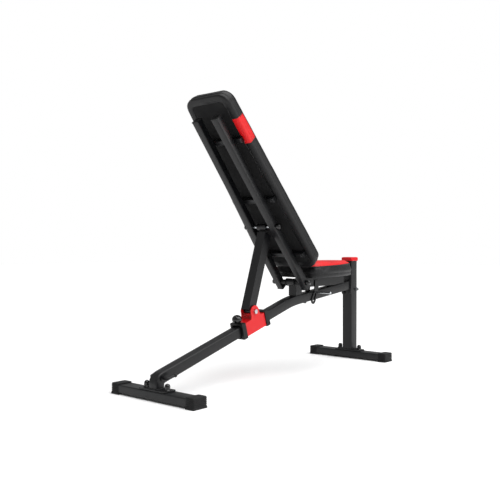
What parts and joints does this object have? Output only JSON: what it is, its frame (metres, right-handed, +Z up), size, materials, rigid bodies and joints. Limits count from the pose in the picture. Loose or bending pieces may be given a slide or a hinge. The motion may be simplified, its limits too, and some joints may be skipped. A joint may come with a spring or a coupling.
{
  "type": "adjustable weight bench",
  "caption": "Adjustable weight bench: sloping square-tube beam on two cross feet, tilting seat, and a folding backrest propped by a strut on a sliding carriage.",
  "frame": {"origin": "on the floor, under the middle of the bench's overall length and width", "axes": "+X from the rear foot to the front post, +Y to the left side, +Z up"},
  "size_m": [1.273, 0.417, 1.0924],
  "materials": {
    "black_powder_coat": "semi-gloss",
    "red_powder_coat": "gloss",
    "chrome": "polished",
    "zinc": "satin",
    "black_rubber": "matte",
    "black_nylon": "satin",
    "gloss_black_plastic": "gloss",
    "board": "matte",
    "black_vinyl": "semi-gloss",
    "red_vinyl": "semi-gloss"
  },
  "bodies": {
    "frame": {"rear_foot_tube": "black_powder_coat", "rear_base_plate": "black_powder_coat", "rear_foot_shoe_left": "black_rubber", "rear_foot_bolt_left": "gloss_black_plastic", "rear_foot_shoe_right": "black_rubber", "rear_foot_bolt_right": "gloss_black_plastic", "front_foot_tube": "black_powder_coat", "front_base_plate": "black_powder_coat", "front_foot_shoe_left": "black_rubber", "front_foot_bolt_left": "gloss_black_plastic", "front_foot_shoe_right": "black_rubber", "front_foot_bolt_right": "gloss_black_plastic", "main_beam": "black_powder_coat", "band_hook_left": "black_powder_coat", "band_hook_right": "black_powder_coat", "upright": "black_powder_coat", "hinge_sleeve": "black_powder_coat", "main_axle": "chrome", "main_axle_nut_left": "gloss_black_plastic", "axle_spacer_left": "black_nylon", "main_axle_nut_right": "gloss_black_plastic", "axle_spacer_right": "black_nylon", "front_post": "black_powder_coat", "post_cap": "red_powder_coat", "beam_flange": "black_powder_coat", "flange_bolt_left": "black_powder_coat", "flange_bolt_right": "black_powder_coat", "post_side_bolt": "zinc"},
    "backrest": {"backrest_tube_left": "black_powder_coat", "back_plug_top_left": "black_nylon", "back_plug_bottom_left": "black_nylon", "backrest_tube_right": "black_powder_coat", "back_plug_top_right": "black_nylon", "back_plug_bottom_right": "black_nylon", "cross_member_1": "black_powder_coat", "cross_member_2": "black_powder_coat", "cross_member_3": "black_powder_coat", "backrest_board": "board", "backrest_pad": "black_vinyl", "strut_axle": "chrome", "strut_axle_nut_left": "gloss_black_plastic", "strut_axle_nut_right": "gloss_black_plastic"},
    "strut": {"strut_tube": "black_powder_coat", "strut_head_sleeve": "black_powder_coat"},
    "carriage": {"carriage_sleeve": "red_powder_coat", "carriage_rear_block": "black_nylon", "carriage_front_block": "black_nylon", "carriage_bolt": "chrome"},
    "pop_pin": {"pull_pin": "gloss_black_plastic"},
    "seat": {"seat_tube": "black_powder_coat", "seat_tube_plug": "black_nylon", "seat_hinge_plate_left": "black_powder_coat", "seat_adjuster_left": "black_powder_coat", "seat_hinge_plate_right": "black_powder_coat", "seat_adjuster_right": "black_powder_coat", "seat_cross_plate_1": "black_powder_coat", "seat_cross_plate_2": "black_powder_coat", "seat_board": "board", "seat_pad": "red_vinyl"},
    "lock_pin": {"seat_lock_pin": "chrome"}
  },
  "joints": [
    {"name": "backrest_fold", "type": "hinge", "parent": "frame", "child": "backrest", "pos_m": [0.1505, 0, 0.372], "axis": [0, 1, 0], "range_deg": [-50.2, 9.7]},
    {"name": "strut_swing", "type": "hinge", "parent": "backrest", "child": "strut", "pos_m": [-0.03937, 0, 0.60038], "axis": [0, 1, 0], "range_deg": [-18.5, 92.5]},
    {"name": "carriage_turn", "type": "hinge", "parent": "strut", "child": "carriage", "pos_m": [-0.11804, 0, 0.26884], "axis": [0, 1, 0], "range_deg": [-42, 8.8]},
    {"name": "seat_tilt", "type": "hinge", "parent": "frame", "child": "seat", "pos_m": [0.1505, 0, 0.372], "axis": [0, 1, 0], "range_deg": [-15, 0]},
    {"name": "pop_pin_pull", "type": "slide", "parent": "carriage", "child": "pop_pin", "axis": [-0.2832, 0, 0.9591], "range_m": [0, 0.012], "stiffness_N_per_m": 600, "springref_m": -0.004},
    {"name": "lock_pin_pull", "type": "slide", "parent": "frame", "child": "lock_pin", "axis": [0, -1, 0], "range_m": [0, 0.06]}
  ],
  "couplings": [
    {"joint": "strut_swing", "follows": "backrest_fold", "ratio": -1.82},
    {"joint": "carriage_turn", "follows": "backrest_fold", "ratio": 0.82}
  ]
}
